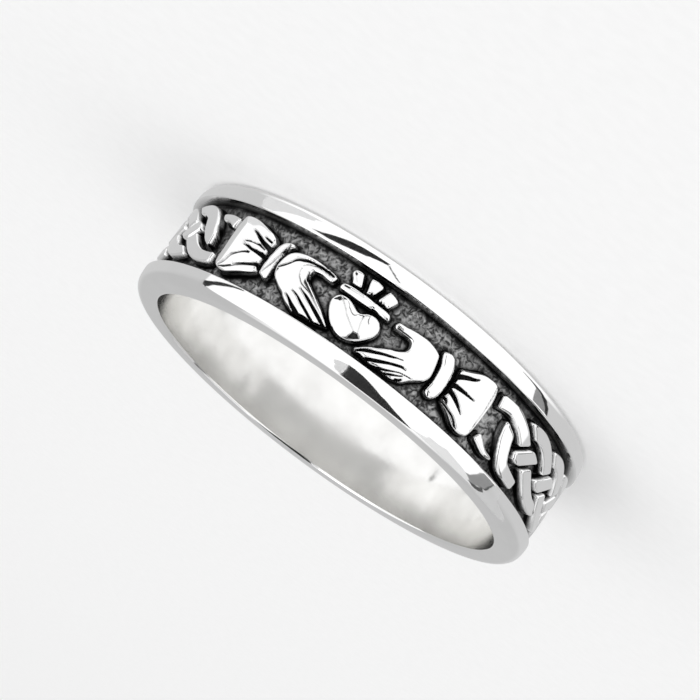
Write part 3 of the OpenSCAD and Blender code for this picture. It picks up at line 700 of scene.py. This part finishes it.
def strip(name, line, over, gap=STRAND_GAP, ends=()):
    """A strip along the line that stops a gap before each line in over, and at the ends that are named."""
    bpy.ops.object.select_all(action="DESELECT")
    count = len(line) - 1
    bpy.ops.mesh.primitive_grid_add(x_subdivisions=count, y_subdivisions=ACROSS_CELLS, size=1)
    piece = bpy.context.object
    piece.name = name
    points = points_of(piece)
    along = np.rint((points[:, 0] + 0.5) * count).astype(int)
    tangent = np.gradient(line[:, :2], axis=0)
    tangent /= np.linalg.norm(tangent, axis=1)[:, None]
    middle = line[along, :2]
    half = line[along, 2]
    across = points[:, 1] * 2 * (half + GRID_MARGIN)
    points[:, 0] = middle[:, 0] - tangent[along, 1] * across
    points[:, 1] = middle[:, 1] + tangent[along, 0] * across
    inside = half - abs(across)
    for other in over:
        inside = meet(inside, outside_line(points[:, 0], points[:, 1], other) - gap)
    for end in ends:
        inside = meet(inside, np.linalg.norm(middle - line[end, :2], axis=1) - MARGIN)
    close_and_set(piece, points, cast_height(inside, STRAND_ROUND))
    return piece


def copies(piece, places, turned=False):
    """Copies of a flat piece along the band, each with its own mesh, turned by half a turn if wanted."""
    made = []
    for place_x in places:
        copy = piece.copy()
        copy.data = piece.data.copy()
        bpy.context.collection.objects.link(copy)
        points = points_of(copy)
        if turned:
            points[:, :2] *= -1
        points[:, 0] += place_x
        points[:, 1] += PLAIT_LIFT
        move_points(copy, points)
        made.append(copy)
    return made


def fit_plait(name, made):
    """Joins strips into one piece, sets it round the band and fixes it to the ring."""
    only(made[0])
    for part in made:
        part.select_set(True)
    bpy.ops.object.join()
    piece = bpy.context.object
    piece.name = name
    wrap(piece)
    piece.data.materials.append(polished_silver)
    finish_piece(piece)


crossings = [RIGHT_CROSSING + i * PITCH for i in range(PITCHES + 1)]
falling = strip("falling", strand_line(-1.5 * PITCH, 0, -1),
                [strand_line(-1.5 * PITCH, PITCH, -1, -PITCH), strand_line(-PITCH, PITCH, 1)])
rising = strip("rising", strand_line(-PITCH / 2, PITCH / 2, 1),
               [strand_line(-PITCH, PITCH, -1, -PITCH), strand_line(-PITCH, PITCH, -1, PITCH)], RISING_GAP)
fit_plait("plait_upper_strands", copies(falling, crossings[1:]))
fit_plait("plait_lower_strands", copies(falling, crossings[:-1], turned=True))
fit_plait("plait_middle_strands", copies(rising, crossings[1:-1]))
bpy.data.objects.remove(falling)
bpy.data.objects.remove(rising)


def plait_end(name, over_table, loop_table, under_table, crossing, start_l, turned):
    """The strands between a sleeve and the first crossing, and the strand that rises there."""
    over = end_line(over_table, start_l)
    loop = end_line(loop_table, PITCH)
    under = end_line(under_table, start_l, -1)
    climb = strand_line(-PITCH / 2, PITCH / 2, 1)
    strips = [
        strip("over", over, [strand_line(-PITCH, PITCH, 1)], ends=[0]),
        strip("loop", loop, [over, strand_line(0, 1.5 * PITCH, -1)], ends=[-1]),
        strip("under", under[under[:, 0] < -PITCH / 2], [loop], END_GAP, ends=[0]),
        strip("climb", climb, [loop, strand_line(-PITCH, PITCH, -1, PITCH)], END_GAP)]
    fit_plait(name, [c for s in strips for c in copies(s, [crossing], turned)])
    for s in strips:
        bpy.data.objects.remove(s)


plait_end("plait_right_end", RIGHT_OVER, RIGHT_LOOP, RIGHT_UNDER, crossings[0], RIGHT_START_L, False)
plait_end("plait_left_end", LEFT_OVER, LEFT_LOOP, LEFT_UNDER, crossings[-1], LEFT_START_L, True)

# The channel is painted darkest where the wheel can't reach: beside its walls and the relief, and on all of
# the floor between the strands. This is painted shade in the corners, over the sulphide that lies thickest
# there.
DARKEST_BESIDE = 0.03
FADED_BEYOND = 0.3
PLAIT_STARTS = 7.9
FLOOR_SHADE_AND_CRUST = 0.6
points = points_of(band) / MM
along = -(np.arctan2(points[:, 1], points[:, 0]) + math.pi / 2)
along = OUTER_R * ((along + math.pi) % (2 * math.pi) - math.pi)
across = BAND_W / 2 - points[:, 2]
away = HALF_CHANNEL - abs(across)
beside = np.flatnonzero(in_channel & (abs(along) < PLAIT_STARTS))
for outline in outlines:
    outside = -inside_outline(along[beside], across[beside], outline)
    away[beside] = np.minimum(away[beside], outside)
shade = np.maximum(1 - ramp(away, DARKEST_BESIDE, FADED_BEYOND), FLOOR_SHADE_AND_CRUST * (abs(along) >= PLAIT_STARTS))
paint(band, "corner", in_channel * shade)

# The camera looks from the heart's side, low over the board, and is rolled so that the bore's axis runs
# from the lower left to the upper right of the picture. Here and in the studio angles are in degrees and
# distances in metres, but the lens and its sensor are in millimetres.
CAMERA_AZIMUTH = -98.96
CAMERA_ELEVATION = 12.51
CAMERA_DISTANCE = 0.1357
LENS = 166.2
SENSOR_W = 36
SHIFT_RIGHT = -0.0122
SHIFT_UP = 0.0394
NEAREST = 0.01
FARTHEST = 10
# Where the upper end of the bore's axis points in the picture
AXIS_RIGHT = -0.583
AXIS_DOWN = 0.783


def towards(azimuth, elevation):
    """The direction that is so many degrees to the right of the camera, and above the board."""
    turn = math.radians(CAMERA_AZIMUTH - azimuth)
    rise = math.radians(elevation)
    return Vector((math.cos(turn) * math.cos(rise), math.sin(turn) * math.cos(rise), math.sin(rise)))


aim = Vector((0, 0, BAND_W / 2 * MM))
back = towards(0, CAMERA_ELEVATION)
right = Vector((0, 0, 1)).cross(back).normalized()
up = back.cross(right)
roll = math.atan2(AXIS_RIGHT, -AXIS_DOWN)
turned_right = right * math.cos(roll) + up * math.sin(roll)
turned_up = up * math.cos(roll) - right * math.sin(roll)
lens = bpy.data.cameras.new("camera")
lens.lens = LENS
lens.sensor_width = SENSOR_W
lens.shift_x = SHIFT_RIGHT
lens.shift_y = SHIFT_UP
lens.clip_start = NEAREST
lens.clip_end = FARTHEST
camera = bpy.data.objects.new("camera", lens)
matrix = Matrix((turned_right, turned_up, back)).transposed().to_4x4()
matrix.translation = aim + back * CAMERA_DISTANCE
camera.matrix_world = matrix
bpy.context.collection.objects.link(camera)
bpy.context.scene.camera = camera
bpy.context.scene.view_settings.view_transform = "Standard"

# The board is pale matt card, lit but not mirrored in the metal. Its fibres keep it from being one flat
# tone, and are drawn far coarser than real ones so that they show at all.
BOARD_SIZE = 1.2
BOARD_FIBRES_PER_MM = 1.5
PAPER_ROUGHNESS = 0.9
bpy.ops.object.select_all(action="DESELECT")
bpy.ops.mesh.primitive_plane_add(size=BOARD_SIZE)
board = bpy.context.object
board.name = "studio_board"
paper, tree, shader = new_material("matt_white_board")
place = add(tree, "ShaderNodeTexCoord").outputs["Object"]
noise_inputs = {"Vector": place, "Scale": BOARD_FIBRES_PER_MM / MM, "Detail": 4}
fibres = add(tree, "ShaderNodeTexNoise", noise_inputs).outputs["Fac"]
tone = add(tree, "ShaderNodeMix", {SHARE: fibres, FROM: linear("#F4F4F4"), TO: linear("#FAFAFA")},
           data_type="RGBA").outputs[MIXED]
tree.links.new(tone, shader.inputs["Base Color"])
shader.inputs["Roughness"].default_value = PAPER_ROUGHNESS
board.data.materials.append(paper)
board.visible_glossy = False

# A tent of cloth lights the ring evenly and is what the metal mirrors. It is white in front of the ring,
# overhead and underneath, and light grey behind it, a little lighter below the board than above it.
TENT_STRENGTH = 1.15
TENT_TURN = 2
TENT_WHITE = "#FFFFFF"
TENT_GREY_BELOW = "#C4C4C4"
TENT_GREY_ABOVE = "#B8B8B8"
# Each part's axis, 0 towards the camera or 2 up, and how far along it, from -1 to 1, the part starts and
# how far it is full
TENT_PARTS = {
    "behind": (0, -0.055, -0.075),
    "above": (2, -0.05, 0.15),
    "overhead": (2, 0.8, 0.95),
    "beneath": (2, -0.6, -0.75)}
tent = bpy.data.worlds.new("light_tent")
bpy.context.scene.world = tent
tent.use_nodes = True
tree = tent.node_tree
tree.nodes.clear()
seen = add(tree, "ShaderNodeTexCoord").outputs["Generated"]
turn = (0, 0, -math.radians(CAMERA_AZIMUTH + TENT_TURN))
turned = add(tree, "ShaderNodeMapping", {"Vector": seen, "Rotation": turn}).outputs[0]
axes = add(tree, "ShaderNodeSeparateXYZ", {0: turned}).outputs
part = {}
for name, (axis, start, full) in TENT_PARTS.items():
    limits = {"Value": axes[axis], "From Min": start, "From Max": full}
    part[name] = add(tree, "ShaderNodeMapRange", limits).outputs[0]
white = linear(TENT_WHITE)
ends = add(tree, "ShaderNodeMath", {0: part["overhead"], 1: part["beneath"]}, operation="MAXIMUM").outputs[0]
grey = add(tree, "ShaderNodeMix", {SHARE: part["above"], FROM: linear(TENT_GREY_BELOW),
                                   TO: linear(TENT_GREY_ABOVE)}, data_type="RGBA").outputs[MIXED]
back_cloth = add(tree, "ShaderNodeMix", {SHARE: ends, FROM: grey, TO: white}, data_type="RGBA").outputs[MIXED]
cloth = add(tree, "ShaderNodeMix", {SHARE: part["behind"], FROM: white, TO: back_cloth},
            data_type="RGBA").outputs[MIXED]
light = add(tree, "ShaderNodeBackground", {"Color": cloth, "Strength": TENT_STRENGTH}).outputs[0]
add(tree, "ShaderNodeOutputWorld", {"Surface": light})

# Small cards of matt paper stand in front of the tent, black, grey and pale. They are hidden from the camera
# and show only in the metal, where they give the polished rails their dark and grey shapes, the way a
# photographer gives silver its edges.
CARD_DISTANCE = 0.35
CARD_NAP_PER_MM = 0.09


def card_paper(name, dark, light):
    """Matt paper whose nap mottles it a little, drawn coarse enough to show in the metal."""
    material, tree, shader = new_material(name)
    place = add(tree, "ShaderNodeTexCoord").outputs["Object"]
    noise_inputs = {"Vector": place, "Scale": CARD_NAP_PER_MM / MM, "Detail": 4}
    nap = add(tree, "ShaderNodeTexNoise", noise_inputs).outputs["Fac"]
    tone = add(tree, "ShaderNodeMix", {SHARE: nap, FROM: linear(dark), TO: linear(light)},
               data_type="RGBA").outputs[MIXED]
    tree.links.new(tone, shader.inputs["Base Color"])
    shader.inputs["Roughness"].default_value = PAPER_ROUGHNESS
    return material


black_card = card_paper("black_card", "#080808", "#383838")
grey_card = card_paper("grey_card", "#888888", "#A4A4A4")
pale_card = card_paper("pale_card", "#E4E4E4", "#F2F2F2")
dark_card = card_paper("dark_grey_card", "#404040", "#686868")
light_card = card_paper("light_card", "#F0F0F0", "#FAFAFA")
cloth_card = card_paper("tent_grey_card", "#CECECE", "#D8D8D8")
# Name, paper, share of the distance, and corners as degrees to the right of the camera and above the board
CARDS = [
    ("card_left", black_card, 0.96, [
        (-95, -2), (-91, -5), (-88, -7), (-85, -8), (-82, -9), (-77, -10.5), (-72, -12), (-71, -10),
        (-77, -8), (-81, -6), (-84, -4), (-88, 2), (-91, 9), (-98, 23), (-96, 17), (-95, 5)]),
    ("card_above", black_card, 0.96, [
        (-7, -1), (-7, 10), (-7, 21), (-9, 49), (-15, 70), (-104, 86), (-165, 77), (-179, 73), (170, 73),
        (160, 71), (144, 72), (108, 72), (57, 68), (31, 54), (19, 32), (11, 15), (5, 6), (1, 0), (-3, -1)]),
    ("card_low_left", black_card, 0.96, [
        (-63, -17), (-57, -19), (-52, -24), (-49, -34), (-44, -42), (-39, -53), (-28, -57), (-23, -39),
        (-28, -33), (-32, -23), (-38, -20), (-44, -18), (-52, -16)]),
    ("card_low_front", dark_card, 0.97, [
        (-23, -43), (-17, -28), (-14, -22), (-11, -19), (-11, -18), (-14, -20), (-17, -24), (-22, -37)]),
    ("card_right_edge", dark_card, 0.96, [
        (88, -10), (90, -10), (87.5, -3), (87.5, 19), (105, 40), (122, 48), (121, 50.5), (98, 48.5),
        (103, 45.5), (97, 41), (83, 12), (85, -4)]),
    ("card_low_right_edge", black_card, 0.96, [
        (110, -57), (114, -53), (112, -48), (102, -41), (94, -29), (92, -19), (92, -15), (90, -15),
        (89, -18), (88, -22), (89, -31), (95, -41), (97, -48), (101, -55)]),
    ("card_right", grey_card, 0.98, [
        (76, 30), (74, 10), (75, 0), (77, -7), (80, -10), (89, -10), (86, -3), (86, 19), (108, 45),
        (101, 47)]),
    ("card_low_right", grey_card, 0.98, [
        (96, -46), (81, -29), (78, -20), (78, -15), (90, -15), (89, -18), (88, -22), (89, -31), (95, -41)]),
    ("card_beside_right", cloth_card, 1.0, [
        (84, -10), (92, -10), (97, -10), (97, 2), (150, 39), (149, 43), (133, 50), (104, 46), (99, 42),
        (82, 20), (81, 5)]),
    ("card_far_left", pale_card, 1.0, [
        (-96, -14.5), (-98, -18), (-100, -20), (-105, -28), (-119, -38), (-119, -45), (-111, -52),
        (-89, -55), (-70, -33), (-77, -22), (-82, -19), (-85, -17), (-88, -14.5)]),
    ("card_above_left", light_card, 1.0, [
        (-14, 13), (-15, 43), (-39, 79), (-104, 86), (-14, 67), (-8, 35), (-7, 10), (-7, -1), (-11, 6)]),
    ("card_above_right", light_card, 1.0, [
        (85, 72), (46, 28), (55, 10), (64, 16), (74, 26), (104, 48), (126, 49), (132, 55), (121, 63)])]
for name, paper, share, corners in CARDS:
    bpy.ops.object.select_all(action="DESELECT")
    bpy.ops.mesh.primitive_circle_add(vertices=len(corners), radius=CARD_DISTANCE, fill_type="NGON")
    card = bpy.context.object
    card.name = name
    rays = [towards(*corner) for corner in corners]
    middle = sum(rays, Vector()).normalized()
    move_points(card, [ray * share * CARD_DISTANCE / ray.dot(middle) for ray in rays])
    card.data.materials.append(paper)
    card.visible_camera = False
    card.visible_diffuse = False
    card.visible_shadow = False

# One weak soft box, a square of cloth lit from behind, stands above and to the left. It lays a faint
# shadow of the ring on the board.
SOFT_BOX_PLACE = (-40, 60)
SOFT_BOX_DISTANCE = 0.5
SOFT_BOX_SIZE = 0.35
SOFT_BOX_POWER = 0.25
way = towards(*SOFT_BOX_PLACE)
bpy.ops.object.light_add(type="AREA", location=way * SOFT_BOX_DISTANCE)
soft_box = bpy.context.object
soft_box.name = "soft_box"
soft_box.rotation_euler = way.to_track_quat("Z", "Y").to_euler()
soft_box.data.size = SOFT_BOX_SIZE
soft_box.data.energy = SOFT_BOX_POWER

bpy.context.view_layer.update()
